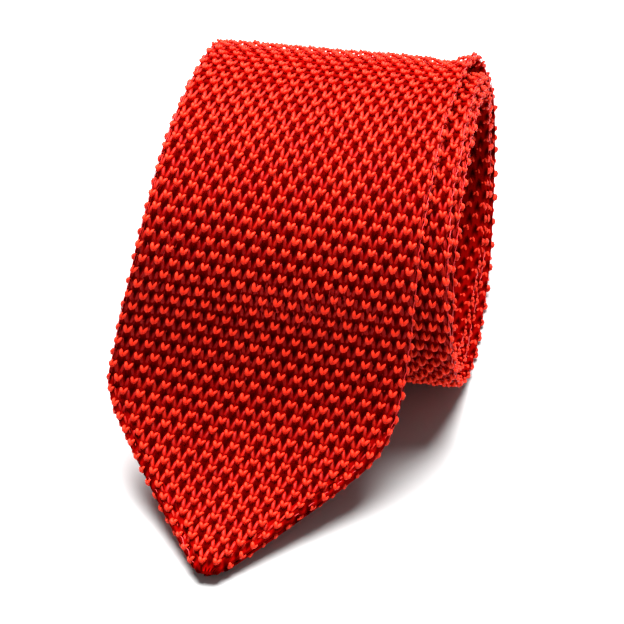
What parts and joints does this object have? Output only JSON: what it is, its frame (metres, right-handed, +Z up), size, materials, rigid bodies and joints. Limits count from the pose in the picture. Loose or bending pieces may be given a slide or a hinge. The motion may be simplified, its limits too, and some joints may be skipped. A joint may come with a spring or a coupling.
{
  "type": "rolled knitted tie",
  "caption": "Pointed knitted tie rolled up from its narrow end and lying on its side, with the wide blade coming over the roll and out in front.",
  "frame": {"origin": "middle of the tie's box in plan, at the height of the surface it rests on", "axes": "+X runs along the roll to the viewer's right, -Y is the front, where the point of the blade lies, and +Z is up"},
  "size_m": [0.0714, 0.116, 0.0594],
  "materials": {
    "knit": "smooth lustrous yarn in a raised tuck stitch"
  },
  "bodies": {
    "root": {"wide_blade": "knit", "point_fold_left": "knit", "point_fold_right": "knit", "neck_band": "knit", "narrow_tail": "knit"}
  },
  "joints": []
}
